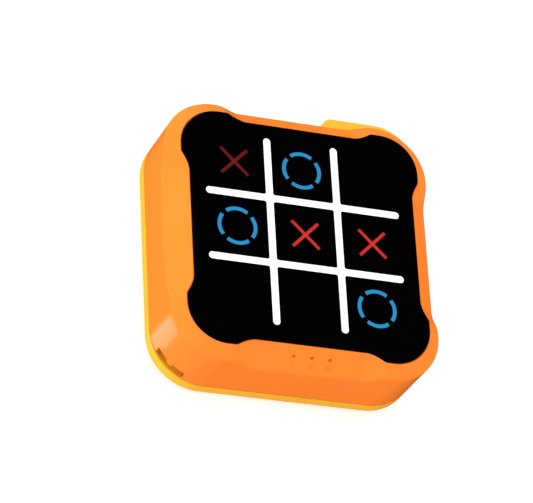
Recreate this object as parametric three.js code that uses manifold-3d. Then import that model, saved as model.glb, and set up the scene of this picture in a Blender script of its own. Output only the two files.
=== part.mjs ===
// An electronic tic-tac-toe game for the hand: a black touch panel in an orange housing with a
// yellow back cover, lit from inside by red crosses and blue rings.
// The frame: x to the right along the board, y up the board, z out of the panel.
// The origin is the middle of the flat back face, which is z = 0.
import * as THREE from "three";
import { mergeVertices } from "three/addons/utils/BufferGeometryUtils.js";
import Module from "manifold-3d";

const wasm = await Module();
wasm.setup();

// ---- Driving dimensions, in millimetres ----

const GAP = 0.3; // clearance between neighbouring pieces
const BODY = { mid: 40, ear: 40, corner: 15.4 }; // the case's outline, seen from the front
const HEIGHT = 26; // back face to panel face
const WALL = 2.2;
const SEAM_Z = 4.9; // where the housing meets the back cover
const BACK_ROUND = 2; // rounding round the back face

const PANEL = { mid: 33.5, ear: 35.8, corner: 10.5 }; // the panel is wider at its corner ears
const EAR_STEP = 19.9; // distance along a side at which the outline steps out to the ear
const EAR_SPAN = 2.4; // half the length of that step
const PANEL_THICK = 1.6;
const PANEL_PROUD = 1.1; // panel face above the bezel's edge
const PANEL_BEVEL = 0.35;
const WALL_TOP = { mid: 19.4, ear: 22.4 }; // height at which the wall turns into the sloping bezel

const PITCH = 20.28; // from one cell of the board to the next
const GRID_X = -0.4; // the board's middle against the case's middle
const RING_R = 5.35; // centre line of a ring's light slot
const RING_GAP = 20 * (Math.PI / 180); // dark gap between two of its four arcs
const CROSS_REACH = 4.3; // half the extent of a cross, along x and along y
const SLOT_W = 1.1; // width of every light slot

const CELL_R = 5.25; // AAA battery
const CELL_LENGTH = 44.5;
const CELL_PITCH = 10.65;
const TUB = { x: 25.2, y0: -34.6, y1: -2.5, z: 13.6, wall: 1.4 }; // inside of the battery tub
const DOOR_THICK = 1.6;
const DOOR_LEDGE = 1.1; // how far the door overlaps the tub's edge
const DOOR_SCREW = { x: 29, y: -18.5 };

const DOOR_TABS = [-6, -31]; // places along y of the two hooks on its hinged edge
const TONGUE_THICK = 2.6; // the thicker tongue that carries the door's screw

const PILLAR = { x: 29.8, y: 25 }; // the four case screws
const BOARD_Z = 18.4; // underside of the circuit board
const BOARD_THICK = 1.6;
const BOARD_HALF = 31.3;
const STACK_HALF = 29.5; // films and reflector frame between board and panel
const STACK_CORNER = 12;
const SPEAKER = { at: [-8, 18.4], r: 13.5 };
const SWITCH = { x: 22, z: 14.8, back: 26.4, front: 30.2 }; // push switch behind the button

const BUTTON = { x0: 10.6, x1: 34.6, z0: 11, z1: 18, proud: 3.7, inside: 34.8 };
const BUTTON_ROUND = { left: 2.9, right: 12 }; // roundings of its two outer corners
const BUTTON_LIP = { x: 26.9, end: 38.4, lift: 1.3 }; // the lip that carries on round the case's corner
const BUTTON_TRAVEL = 0.8;
const HOLE_SPACING = 5.4; // the three indicator holes
const HOLE_R = 0.6;
const HOLE_X = 0.7; // where the middle one is
const HOLE_Y = -36.45;

const CORNER_AT = BODY.mid - BODY.corner; // centre of a corner's arc, in x and in y
const NOTCH = { from: 31.2, to: 34.8, height: 3.4, tooth: 1.3 }; // lanyard notches, beside the corner
const POCKET = { inner: 8.2, wall: 1, post: 12, postR: 1.1, spread: 26, rim: 0.9, floor: 3.5 };

const STEP_PARTS = 4; // straight pieces along each step to an ear
const ARC_PARTS = 10; // straight pieces along each corner

const COLOURS = {
  orange: 0xfa8a34,
  yellow: 0xf7bd3e,
  black: 0x08080a,
  white: 0xf2f2ee,
  clear: 0xdfe6ea,
  board: 0x1f6b3a,
  chip: 0x16161a,
  steel: 0xb9bcc2,
  cell: 0x3d4a58,
  magnet: 0x8d9096,
  paper: 0x2b2622,
  red: 0xb3262a,
};

// ---- Making and joining solids ----

function toSolid(geometry) {
  const bare = geometry.clone();
  bare.deleteAttribute("normal");
  bare.deleteAttribute("uv");
  const merged = mergeVertices(bare, 1e-4);
  return new wasm.Manifold(
    new wasm.Mesh({
      numProp: 3,
      vertProperties: new Float32Array(merged.attributes.position.array),
      triVerts: new Uint32Array(merged.index.array),
    }),
  );
}

function toGeometry(made) {
  const mesh = made.getMesh();
  const geometry = new THREE.BufferGeometry();
  geometry.setAttribute("position", new THREE.BufferAttribute(mesh.vertProperties, 3));
  geometry.setIndex(new THREE.BufferAttribute(mesh.triVerts, 1));
  geometry.computeVertexNormals();
  return geometry;
}

function join(first, ...rest) {
  return rest.reduce((sum, next) => sum.add(next), first);
}

function cut(base, ...tools) {
  return tools.reduce((left, tool) => left.subtract(tool), base);
}

// A box from its low and high limits along x, y and z.
function box([x0, x1], [y0, y1], [z0, z1]) {
  const geometry = new THREE.BoxGeometry(x1 - x0, y1 - y0, z1 - z0);
  geometry.translate((x0 + x1) / 2, (y0 + y1) / 2, (z0 + z1) / 2);
  return toSolid(geometry);
}

// A cone or cylinder standing on [x, y], from z0 with radius r0 to z1 with radius r1.
function rod([x, y], [z0, z1], r0, r1 = r0, sides = 16) {
  const geometry = new THREE.CylinderGeometry(r1, r0, z1 - z0, sides);
  geometry.rotateX(Math.PI / 2);
  geometry.translate(x, y, (z0 + z1) / 2);
  return toSolid(geometry);
}

// A cylinder lying along x at [y, z].
function rodAlongX([x0, x1], [y, z], r, sides = 20) {
  const geometry = new THREE.CylinderGeometry(r, r, x1 - x0, sides);
  geometry.rotateZ(Math.PI / 2);
  geometry.translate((x0 + x1) / 2, y, z);
  return toSolid(geometry);
}

// A cylinder lying along y at [x, z].
function rodAlongY([y0, y1], [x, z], r, sides = 16) {
  const geometry = new THREE.CylinderGeometry(r, r, y1 - y0, sides);
  geometry.translate(x, (y0 + y1) / 2, z);
  return toSolid(geometry);
}

// A flat outline, drawn in the xy plane, made solid from z0 to z1.
function prism(points, [z0, z1]) {
  const shape = new THREE.Shape(points.map(({ x, y }) => new THREE.Vector2(x, y)));
  const geometry = new THREE.ExtrudeGeometry(shape, { depth: z1 - z0, bevelEnabled: false });
  geometry.translate(0, 0, z0);
  return toSolid(geometry);
}

// Part of a disc round [x, y], from radius r0 to r1, between two angles in degrees.
function sector([x, y], [r0, r1], [from, to], heights, steps = 8) {
  const at = (r, i) => {
    const angle = THREE.MathUtils.degToRad(from + ((to - from) * i) / steps);
    return { x: x + r * Math.cos(angle), y: y + r * Math.sin(angle) };
  };
  const count = [...Array(steps + 1).keys()];
  const points = [...count.map((i) => at(r1, i)), ...count.reverse().map((i) => at(r0, i))];
  return prism(points, heights);
}

// A closed skin through rings of points that all have the same count, lowest ring first.
function loft(rings) {
  const count = rings[0].length;
  const positions = rings.flat().flatMap(({ x, y, z }) => [x, y, z]);
  const faces = [];
  for (let r = 0; r + 1 < rings.length; r++) {
    for (let i = 0; i < count; i++) {
      const a = r * count + i;
      const b = r * count + ((i + 1) % count);
      faces.push(a, b, b + count, a, b + count, a + count);
    }
  }
  const flat = (ring) => ring.map(({ x, y }) => new THREE.Vector2(x, y));
  const last = (rings.length - 1) * count;
  for (const [a, b, c] of THREE.ShapeUtils.triangulateShape(flat(rings[0]), [])) {
    faces.push(a, c, b);
  }
  for (const [a, b, c] of THREE.ShapeUtils.triangulateShape(flat(rings.at(-1)), [])) {
    faces.push(last + a, last + b, last + c);
  }
  const geometry = new THREE.BufferGeometry();
  geometry.setAttribute("position", new THREE.Float32BufferAttribute(positions, 3));
  geometry.setIndex(faces);
  return toSolid(geometry);
}

// ---- Outlines ----

// The stations along one side at which the outline is given, and how far each is into the ear.
function sideStations() {
  const stations = [];
  for (let i = 0; i <= STEP_PARTS; i++) {
    const t = i / STEP_PARTS;
    stations.push({ u: EAR_STEP - EAR_SPAN + 2 * EAR_SPAN * t, ear: (1 - Math.cos(Math.PI * t)) / 2 });
  }
  const mirrored = stations.map(({ u, ear }) => ({ u: -u, ear })).reverse();
  return [...mirrored, ...stations];
}

// The points of a case outline, anticlockwise from the right-hand side's lower end. A height may
// be one number or differ between the middle of a side and the ears.
function ring({ mid, ear, corner }, height) {
  const low = height.mid ?? height;
  const high = height.ear ?? height;
  const centre = ear - corner;
  const side = sideStations().map(({ u, ear: t }) => ({
    x: mid + (ear - mid) * t,
    y: u,
    z: low + (high - low) * t,
  }));
  for (let i = 0; i <= ARC_PARTS; i++) {
    const angle = (Math.PI / 2) * (i / ARC_PARTS);
    side.push({ x: centre + corner * Math.cos(angle), y: centre + corner * Math.sin(angle), z: high });
  }
  const quarter = ([c, s]) => side.map(({ x, y, z }) => ({ x: c * x - s * y, y: s * x + c * y, z }));
  return [[1, 0], [0, 1], [-1, 0], [0, -1]].flatMap(quarter);
}

function grown({ mid, ear, corner }, by) {
  return { mid: mid + by, ear: ear + by, corner: corner + by };
}

// A plain rounded rectangle about [x, y].
function roundedBox([x, y], [halfX, halfY], corner, heights, steps = 5) {
  const points = [];
  for (let q = 0; q < 4; q++) {
    for (let i = 0; i <= steps; i++) {
      const angle = (Math.PI / 2) * (q + i / steps);
      const signX = q === 0 || q === 3 ? 1 : -1;
      const signY = q < 2 ? 1 : -1;
      points.push({
        x: x + signX * (halfX - corner) + corner * Math.cos(angle),
        y: y + signY * (halfY - corner) + corner * Math.sin(angle),
      });
    }
  }
  return prism(points, heights);
}

const cellCentres = [-1, 0, 1].flatMap((row) =>
  [-1, 0, 1].map((column) => ({ x: GRID_X + column * PITCH, y: row * PITCH })),
);
const corners = [[1, 1], [-1, 1], [-1, -1], [1, -1]];
const lanyardCorner = [-CORNER_AT, -CORNER_AT];
const LANYARD_ANGLE = 225;

// ---- The case ----

const PANEL_Z = HEIGHT - PANEL_THICK;
const BEZEL_TOP = HEIGHT - PANEL_PROUD;
const LEDGE_Z = PANEL_Z - GAP - 0.1;
const LEDGE_UNDER = LEDGE_Z - 1.3;
const LEDGE = grown(PANEL, -1.5);
const INSIDE = grown(BODY, -WALL);
const BOSS_R = 2.6;
const BOSS_FOOT = 8;

// Both lanyard notches, and the space under the tooth between them.
function lanyardNotches() {
  const heights = [SEAM_Z - 1, SEAM_Z + NOTCH.height];
  const across = [-NOTCH.to, -NOTCH.from];
  const inward = [-BODY.mid - 2, -CORNER_AT - POCKET.inner / 2];
  const underTooth = box([0, 8], [-1.4, 1.4], [SEAM_Z - 1, SEAM_Z + NOTCH.height - NOTCH.tooth]);
  const turned = underTooth
    .translate([BODY.corner - 6, 0, 0])
    .rotate([0, 0, LANYARD_ANGLE])
    .translate([...lanyardCorner, 0]);
  return [box(inward, across, heights), box(across, inward, heights), turned];
}

// The button's outline seen from the front, kept a little larger where it is used as a cutter.
// Beyond x1 it is a lip outside the wall, lifted off it so that the button can be pressed.
function buttonOutline(extra) {
  const left = BUTTON.x0 - extra;
  const right = BUTTON.x1 + extra;
  const end = BUTTON_LIP.end + extra;
  const top = BODY.mid + BUTTON.proud;
  const leftRound = BUTTON_ROUND.left + extra;
  const rightRound = BUTTON_ROUND.right + extra;
  const arc = (x, y, r, from, to) =>
    [...Array(9).keys()].map((i) => {
      const angle = from + ((to - from) * i) / 8;
      return { x: x + r * Math.cos(angle), y: y + r * Math.sin(angle) };
    });
  const lip = [...Array(5).keys()].map((i) => {
    const x = right + ((end - right) * i) / 4;
    return { x, y: CORNER_AT + Math.sqrt(BODY.corner ** 2 - (x - CORNER_AT) ** 2) + BUTTON_LIP.lift - extra };
  });
  const lipAngle = Math.acos((end - BUTTON_LIP.x) / rightRound);
  return [
    { x: left, y: BUTTON.inside - extra },
    { x: CORNER_AT + 4, y: BUTTON.inside - extra },
    { x: right, y: BUTTON.inside - 2.6 - extra },
    ...lip,
    ...arc(BUTTON_LIP.x, top - BUTTON_ROUND.right, rightRound, lipAngle, Math.PI / 2),
    ...arc(BUTTON.x0 + BUTTON_ROUND.left, top - BUTTON_ROUND.left, leftRound, Math.PI / 2, Math.PI),
  ];
}

function frontHousing() {
  const outer = loft([
    ring(BODY, SEAM_Z + GAP / 2),
    ring(BODY, WALL_TOP),
    ring(grown(PANEL, 2 * GAP), BEZEL_TOP),
  ]);
  const hollow = loft([
    ring(INSIDE, 0),
    ring(INSIDE, { mid: WALL_TOP.mid - 1.1, ear: WALL_TOP.ear - 1.1 }),
    ring(LEDGE, LEDGE_UNDER),
    ring(LEDGE, LEDGE_Z),
    ring(grown(PANEL, GAP), LEDGE_Z),
    ring(grown(PANEL, GAP), HEIGHT + 1),
  ]);
  const buttonSlot = prism(buttonOutline(GAP), [BUTTON.z0 - GAP, BUTTON.z1 + GAP]);
  const holes = [-1, 0, 1].map((i) => rod([HOLE_X + i * HOLE_SPACING, HOLE_Y], [LEDGE_UNDER - 5, HEIGHT], HOLE_R, HOLE_R, 10));
  const shell = cut(outer, hollow, buttonSlot, ...holes, ...lanyardNotches());
  const bosses = corners.map(([sx, sy]) => {
    const at = [sx * PILLAR.x, sy * PILLAR.y];
    const boss = rod(at, [BOSS_FOOT, BOARD_Z - GAP], BOSS_R);
    const reach = [sx * PILLAR.x, sx * (INSIDE.mid + 0.6)].sort((a, b) => a - b);
    const rib = box(reach, [at[1] - 0.7, at[1] + 0.7], [BOSS_FOOT + 1, BOARD_Z - 1]);
    const bore = rod(at, [BOSS_FOOT - 1, BOARD_Z], 1.3, 1.3, 10);
    return cut(join(boss, rib), bore);
  });
  const roofZ = SEAM_Z + NOTCH.height + GAP;
  const span = [LANYARD_ANGLE - POCKET.spread - 2, LANYARD_ANGLE + POCKET.spread + 2];
  const roof = sector(lanyardCorner, [POCKET.inner, BODY.corner - WALL / 2], span, [roofZ, roofZ + 1.2]);
  return join(shell, ...bosses, roof);
}

function backCover() {
  const rounding = [0, 30, 60, 90].map((degrees) => {
    const angle = THREE.MathUtils.degToRad(degrees);
    const z = BACK_ROUND * (1 - Math.cos(angle));
    return ring(grown(BODY, BACK_ROUND * (Math.sin(angle) - 1)), z);
  });
  const dish = loft([...rounding, ring(BODY, SEAM_Z - GAP / 2)]);
  const lipOutside = grown(INSIDE, -GAP);
  const lip = loft([ring(lipOutside, BACK_ROUND), ring(lipOutside, SEAM_Z + 2.1)]);
  const hollow = loft([ring(grown(lipOutside, -1.2), BACK_ROUND), ring(grown(lipOutside, -1.2), SEAM_Z + 3)]);
  const lipGap = sector(lanyardCorner, [POCKET.inner, BODY.corner + 4], [195, 255], [SEAM_Z - GAP / 2, 12]);
  const shell = cut(join(dish, lip), hollow, lipGap);

  const span = [LANYARD_ANGLE - POCKET.spread, LANYARD_ANGLE + POCKET.spread];
  const top = SEAM_Z + NOTCH.height;
  const pocketBlock = sector(lanyardCorner, [POCKET.inner, BODY.corner - 1], span, [1, SEAM_Z - GAP / 2]);
  const pit = sector(
    lanyardCorner,
    [POCKET.inner + POCKET.wall, BODY.corner - POCKET.rim],
    [span[0] + 3, span[1] - 3],
    [POCKET.floor, SEAM_Z],
  );
  const pocketWall = sector(lanyardCorner, [POCKET.inner, POCKET.inner + POCKET.wall], span, [1, top]);
  const toPost = (POCKET.post / Math.SQRT2) + CORNER_AT;
  const post = rod([-toPost, -toPost], [1, top], POCKET.postR, POCKET.postR, 12);

  const { x: tubX, y0, y1, z: tubZ, wall } = TUB;
  const tub = box([-tubX - wall, tubX + wall], [y0 - wall, y1 + wall], [1, tubZ + wall]);
  const pillars = corners.map(([sx, sy]) => rod([sx * PILLAR.x, sy * PILLAR.y], [1, BOSS_FOOT - GAP], 3.3));
  const doorBoss = rod([DOOR_SCREW.x, DOOR_SCREW.y], [2, 9.4], 2.8);
  const doorPad = box([tubX, 33.6], [DOOR_SCREW.y - 5, DOOR_SCREW.y + 5], [1, 4.2]);
  const speakerWall = cut(rod(SPEAKER.at, [1, 4.4], SPEAKER.r + 1.5, SPEAKER.r + 1.5, 28), rod(SPEAKER.at, [0, 6], SPEAKER.r + GAP, SPEAKER.r + GAP, 28));
  const pocket = join(cut(join(shell, pocketBlock), pit), pocketWall, post);
  const solid = join(pocket, tub, ...pillars, doorBoss, doorPad, speakerWall);

  const bay = box([-tubX, tubX], [y0, y1], [-1, tubZ]);
  const doorSeat = prism(doorOutline(GAP), [-1, DOOR_THICK + GAP]);
  const tongueSeat = prism(tongueOutline(GAP), [-1, TONGUE_THICK + GAP]);
  const tabRooms = DOOR_TABS.map((y) => box([-tubX - 4.1, -tubX + 0.4], [y - 2.9, y + 2.9], [0.7, 3.3]));
  const screwHoles = corners.flatMap(([sx, sy]) => {
    const at = [sx * PILLAR.x, sy * PILLAR.y];
    return [rod(at, [-1, 4], 2.5), rod(at, [3, 9], 1.4, 1.4, 12)];
  });
  const doorBore = rod([DOOR_SCREW.x, DOOR_SCREW.y], [1, 8.4], 1.65, 1.65, 12);
  const leadHole = box([tubX - 1, tubX + wall + 1], [y1 - 3.2, y1 - 1], [8, 10]);
  const grille = speakerSlots();
  return cut(solid, bay, doorSeat, tongueSeat, ...tabRooms, ...screwHoles, doorBore, leadHole, ...grille);
}

// The panel: its face is a little smaller than its edge, so it has a bevel all round.
function frontPanel() {
  return loft([
    ring(PANEL, PANEL_Z),
    ring(PANEL, HEIGHT - PANEL_BEVEL),
    ring(grown(PANEL, -PANEL_BEVEL), HEIGHT),
  ]);
}

// ---- Under the panel ----

// Clear film with the touch electrodes, and its tail down to the board.
function touchFilm() {
  const film = roundedBox([0, 0], [STACK_HALF, STACK_HALF], STACK_CORNER, [23.75, 23.95]);
  const bridge = box([-STACK_HALF - 1.3, -STACK_HALF + 1], [-4, 4], [23.75, 23.95]);
  const tail = box([-STACK_HALF - 1.3, -STACK_HALF - 1.1], [-4, 4], [20.9, 23.9]);
  const plug = box([-STACK_HALF - 1.6, -STACK_HALF - 0.3], [-4, 4], [20.2, 21]);
  return join(film, bridge, tail, plug);
}

function diffuserFilm() {
  return roundedBox([0, 0], [STACK_HALF, STACK_HALF], STACK_CORNER, [23.2, 23.5]);
}

// One arc-shaped slot of a ring, centred on the given angle in degrees.
function arcSlot({ x, y }, degrees, heights) {
  const half = 45 - THREE.MathUtils.radToDeg(RING_GAP) / 2;
  return sector([x, y], [RING_R - SLOT_W / 2, RING_R + SLOT_W / 2], [degrees - half, degrees + half], heights, 3);
}

// A cross of two slots that meet at right angles, as one outline.
function crossSlot({ x, y }, heights) {
  const w = SLOT_W / Math.SQRT2;
  const r = CROSS_REACH;
  const arm = [{ x: w, y: 0 }, { x: r, y: r - w }, { x: r - w, y: r }];
  const turned = [[1, 0], [0, 1], [-1, 0], [0, -1]].flatMap(([c, s]) =>
    arm.map((p) => ({ x: x + c * p.x - s * p.y, y: y + s * p.x + c * p.y })),
  );
  return prism(turned, heights);
}

// White frame whose slots carry each light up to its own mark.
function reflectorFrame() {
  const frame = roundedBox([0, 0], [STACK_HALF, STACK_HALF], STACK_CORNER, [21, 22.9]);
  const through = [20, 24];
  const slots = cellCentres.flatMap((centre) => [
    crossSlot(centre, through),
    ...[0, 90, 180, 270].map((degrees) => arcSlot(centre, degrees, through)),
  ]);
  return cut(frame, ...slots);
}

// The circuit board with its lamps soldered on: a red one under each cross, four blue ones under
// each ring, and three along its lower edge for the indicators.
function mainBoard() {
  const top = BOARD_Z + BOARD_THICK;
  const plate = roundedBox([0, 0], [BOARD_HALF, BOARD_HALF], 7, [BOARD_Z, top]);
  const lamp = (x, y) => box([x - 0.8, x + 0.8], [y - 0.5, y + 0.5], [top - 0.2, top + 0.6]);
  const lamps = cellCentres.flatMap(({ x, y }) => [
    lamp(x, y),
    lamp(x + RING_R, y),
    lamp(x - RING_R, y),
    lamp(x, y + RING_R),
    lamp(x, y - RING_R),
  ]);
  const indicators = [-1, 0, 1].map((i) => {
    const x = HOLE_X + i * HOLE_SPACING;
    return box([x - 0.8, x + 0.8], [-BOARD_HALF, -BOARD_HALF + 1], [BOARD_Z - 0.8, BOARD_Z + 0.1]);
  });
  const screwHoles = corners.map(([sx, sy]) => rod([sx * PILLAR.x, sy * PILLAR.y], [BOARD_Z - 1, top + 1], 1.25, 1.25, 10));
  return cut(join(plate, ...lamps, ...indicators), ...screwHoles);
}

// Clear bar that takes light from the board's edge up into the three holes.
function indicatorLightPipe() {
  const bar = box([HOLE_X - 7, HOLE_X + 7], [HOLE_Y - 0.5, -BOARD_HALF - GAP], [17.2, 18.5]);
  const prongs = [-1, 0, 1].map((i) => rod([HOLE_X + i * HOLE_SPACING, HOLE_Y], [18, 22], 0.4, 0.4, 8));
  return join(bar, ...prongs);
}

function controllerChip() {
  return box([-6, 6], [5, 17], [BOARD_Z - 1.9, BOARD_Z - 0.2]);
}

function capacitor() {
  return rod([14, 8], [BOARD_Z - 6.2, BOARD_Z - 0.2], 2.5, 2.5, 14);
}

// A screw whose head is lower than its shank's tip when up is true.
function screw(at, [tip, head], { headR, headHeight, shankR }) {
  const sign = Math.sign(head - tip);
  const under = head - sign * headHeight;
  const root = under + sign * 0.2;
  const shank = rod(at, [Math.min(tip, root), Math.max(tip, root)], shankR, shankR, 10);
  const cap = rod(at, [Math.min(under, head), Math.max(under, head)], headR, headR, 16);
  const recess = box([at[0] - headR * 0.6, at[0] + headR * 0.6], [at[1] - 0.3, at[1] + 0.3], [head - 0.7, head + 0.7]);
  const crossing = box([at[0] - 0.3, at[0] + 0.3], [at[1] - headR * 0.6, at[1] + headR * 0.6], [head - 0.7, head + 0.7]);
  return cut(join(shank, cap), recess, crossing);
}

// ---- Speaker ----

function speakerSlots() {
  const [x, y] = SPEAKER.at;
  return [-2, -1, 0, 1, 2].map((i) => {
    const half = [4.4, 7.6, 8.6][2 - Math.abs(i)];
    return roundedBox([x, y + i * 3.4], [half, 0.8], 0.79, [-1, 3], 3);
  });
}

function speakerFrame() {
  const flange = rod(SPEAKER.at, [2.6, 3.6], SPEAKER.r, SPEAKER.r, 28);
  const basket = rod(SPEAKER.at, [3.5, 6.6], SPEAKER.r - 1.5, 8, 28);
  const room = rod(SPEAKER.at, [2, 6], SPEAKER.r - 2.5, 7.4, 28);
  return cut(join(flange, basket), room);
}

function speakerCone() {
  const cone = rod(SPEAKER.at, [3.6, 5.4], SPEAKER.r - 4.4, 5.6, 24);
  const inner = rod(SPEAKER.at, [3, 5], SPEAKER.r - 4.8, 5.4, 24);
  return cut(cone, inner);
}

function speakerMagnet() {
  return rod(SPEAKER.at, [6.9, 10.2], 6.6, 6.6, 20);
}

// ---- Power button ----

function powerButton() {
  const cap = prism(buttonOutline(0), [BUTTON.z0, BUTTON.z1]);
  const flangeY = [INSIDE.mid - GAP - 1.5, INSIDE.mid - GAP];
  const flange = box([BUTTON.x0 - 2, 26], flangeY, [BUTTON.z0 - 1.6, BUTTON.z1 + 0.2]);
  const stem = box([20, 24], [32.6, BUTTON.inside + 0.5], [13.3, 16.3]);
  return join(cap, flange, stem);
}

function tactSwitch() {
  const can = box([SWITCH.x - 3, SWITCH.x + 3], [SWITCH.back, SWITCH.front], [SWITCH.z - 3, BOARD_Z - 0.2]);
  return cut(can, rodAlongY([SWITCH.front - 2, SWITCH.front + 1], [SWITCH.x, SWITCH.z], 1.95));
}

function switchPlunger() {
  return rodAlongY([SWITCH.front - 2 + BUTTON_TRAVEL + 0.2, 32.3], [SWITCH.x, SWITCH.z], 1.65);
}

// ---- Batteries ----

function doorOutline(extra) {
  const x = TUB.x + DOOR_LEDGE + extra;
  const y0 = TUB.y0 - DOOR_LEDGE - extra;
  const y1 = TUB.y1 + DOOR_LEDGE + extra;
  return [{ x: -x, y: y0 }, { x, y: y0 }, { x, y: y1 }, { x: -x, y: y1 }];
}

function tongueOutline(extra) {
  const round = 3.4 + extra;
  const points = [];
  for (let i = 0; i <= 8; i++) {
    const angle = -Math.PI / 2 + (Math.PI * i) / 8;
    points.push({ x: DOOR_SCREW.x + round * Math.cos(angle), y: DOOR_SCREW.y + round * Math.sin(angle) });
  }
  const root = TUB.x + 0.4 - extra;
  return [...points, { x: root, y: DOOR_SCREW.y + round }, { x: root, y: DOOR_SCREW.y - round }];
}

function batteryDoor() {
  const plate = prism(doorOutline(0), [0, DOOR_THICK]);
  const tongue = prism(tongueOutline(0), [0, TONGUE_THICK]);
  const tabs = DOOR_TABS.map((y) => box([-TUB.x - 3.4, -TUB.x], [y - 2.4, y + 2.4], [1.05, 1.9]));
  const at = [DOOR_SCREW.x, DOOR_SCREW.y];
  return cut(join(plate, tongue, ...tabs), rod(at, [-1, 1.6], 2.5), rod(at, [1, 4], 1.45, 1.45, 12));
}

const CELL_Z = DOOR_THICK + GAP + 0.3 + CELL_R;
const cellYs = [-1, 0, 1].map((i) => (TUB.y0 + TUB.y1) / 2 + i * CELL_PITCH);

// A cell lies along x; its raised end points to +x when way is 1.
function battery(index) {
  const way = index === 1 ? -1 : 1;
  const y = cellYs[index];
  const half = CELL_LENGTH / 2;
  const can = rodAlongX([-half + 0.4, half - 1], [y, CELL_Z], CELL_R, 20);
  const cap = rodAlongX([half - 1.2, half], [y, CELL_Z], 1.9, 10);
  const made = join(can, cap);
  return way > 0 ? made : made.translate([0, -y, 0]).rotate([0, 0, 180]).translate([0, y, 0]);
}

// A sprung end: a short cone that presses on a cell's flat end.
function springCone(side, y) {
  const reach = [CELL_LENGTH / 2 - 0.1, TUB.x - GAP - 0.3];
  const geometry = new THREE.CylinderGeometry(3.6, 2.2, reach[1] - reach[0], 12);
  geometry.rotateZ(-Math.PI / 2);
  geometry.translate((reach[0] + reach[1]) / 2, 0, CELL_Z);
  const cone = toSolid(geometry);
  return (side > 0 ? cone : cone.rotate([0, 0, 180])).translate([0, y, 0]);
}

// A contact plate against one end of the tub, from cell a to cell b.
function contactPlate(side, a, b) {
  const outer = TUB.x - 0.2;
  const limits = [side * (outer - 0.4), side * outer].sort((p, q) => p - q);
  return box(limits, [cellYs[a] - 4.2, cellYs[b] + 4.2], [CELL_Z - 3.6, CELL_Z + 4.2]);
}

// A raised pip that meets a cell's raised end.
function contactPip(side, y) {
  const limits = [side * (CELL_LENGTH / 2 + GAP), side * (TUB.x - 0.4)].sort((p, q) => p - q);
  return rodAlongX(limits, [y, CELL_Z], 1.6, 10);
}

const contacts = {
  contact_positive: () => join(contactPlate(1, 2, 2), contactPip(1, cellYs[2])),
  contact_negative: () => join(contactPlate(-1, 0, 0), springCone(-1, cellYs[0])),
  contact_bridge_right: () => join(contactPlate(1, 0, 1), contactPip(1, cellYs[0]), springCone(1, cellYs[1])),
  contact_bridge_left: () => join(contactPlate(-1, 1, 2), contactPip(-1, cellYs[1]), springCone(-1, cellYs[2])),
};

// ---- Leads ----

// A thin lead through a few points, round in section.
function lead(points) {
  const curve = new THREE.CatmullRomCurve3(points.map((p) => new THREE.Vector3(...p)));
  const section = new THREE.Shape();
  section.absarc(0, 0, 0.55, 0, 2 * Math.PI);
  const geometry = new THREE.ExtrudeGeometry(section, { steps: 12, curveSegments: 4, extrudePath: curve });
  return toSolid(geometry);
}

// ---- The assembly ----

function finish(colour, roughness, metalness = 0) {
  return new THREE.MeshStandardMaterial({ color: COLOURS[colour], roughness, metalness });
}

const FINISHES = {
  orange: finish("orange", 0.35),
  yellow: finish("yellow", 0.4),
  black: finish("black", 0.08),
  white: finish("white", 0.6),
  clear: finish("clear", 0.1),
  board: finish("board", 0.5),
  chip: finish("chip", 0.6),
  steel: finish("steel", 0.3, 0.9),
  cell: finish("cell", 0.4, 0.3),
  magnet: finish("magnet", 0.4, 0.8),
  paper: finish("paper", 0.8),
  red: finish("red", 0.5),
};

const handheld = new THREE.Group();

function add(name, made, look) {
  const mesh = new THREE.Mesh(toGeometry(made), FINISHES[look]);
  mesh.name = name;
  handheld.add(mesh);
}

add("front_housing", frontHousing(), "orange");
add("back_cover", backCover(), "yellow");
add("front_panel", frontPanel(), "black");
add("touch_film", touchFilm(), "clear");
add("diffuser_film", diffuserFilm(), "white");
add("reflector_frame", reflectorFrame(), "white");
add("main_board", mainBoard(), "board");
add("controller_chip", controllerChip(), "chip");
add("capacitor", capacitor(), "chip");
add("indicator_light_pipe", indicatorLightPipe(), "clear");
add("speaker_frame", speakerFrame(), "chip");
add("speaker_cone", speakerCone(), "paper");
add("speaker_magnet", speakerMagnet(), "magnet");
add("power_button", powerButton(), "yellow");
add("tact_switch", tactSwitch(), "steel");
add("switch_plunger", switchPlunger(), "chip");
add("battery_door", batteryDoor(), "yellow");

const CASE_SCREW = { headR: 2.1, headHeight: 1.5, shankR: 1.05 };
const BOARD_SCREW = { headR: 1.7, headHeight: 1.1, shankR: 0.95 };
corners.forEach(([sx, sy], i) => {
  const at = [sx * PILLAR.x, sy * PILLAR.y];
  add(`case_screw_${i + 1}`, screw(at, [13.4, 2.2], CASE_SCREW), "steel");
  add(`board_screw_${i + 1}`, screw(at, [14.2, BOARD_Z + BOARD_THICK + 1.3], BOARD_SCREW), "steel");
});
add("battery_door_screw", screw([DOOR_SCREW.x, DOOR_SCREW.y], [7.4, 0.2], { headR: 2.2, headHeight: 1.1, shankR: 1.1 }), "steel");

[0, 1, 2].forEach((i) => add(`battery_${i + 1}`, battery(i), "cell"));
Object.entries(contacts).forEach(([name, make]) => add(name, make(), "steel"));

const UNDER_BOARD = BOARD_Z - 0.4;
add("battery_lead_red", lead([[25.7, -4.6, 9], [28, -4.6, 9.2], [29.2, -5, 12], [28, -7, 16], [25, -9, UNDER_BOARD]]), "red");
add("battery_lead_black", lead([[-27.5, -31, 11.5], [-27.6, -31.2, 13.5], [-26.8, -30.6, 15.7], [-25, -28, 16.8], [-24, -25, UNDER_BOARD]]), "chip");
add("speaker_lead_red", lead([[3.2, 14, 5.2], [5.4, 12, 7], [7, 8, 11], [5, 3, 15], [4, 1, UNDER_BOARD]]), "red");
add("speaker_lead_black", lead([[-18.8, 14, 5.4], [-21, 12, 7], [-22, 8, 11], [-20, 4, 15], [-19, 2, UNDER_BOARD]]), "chip");

export default handheld;
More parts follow.
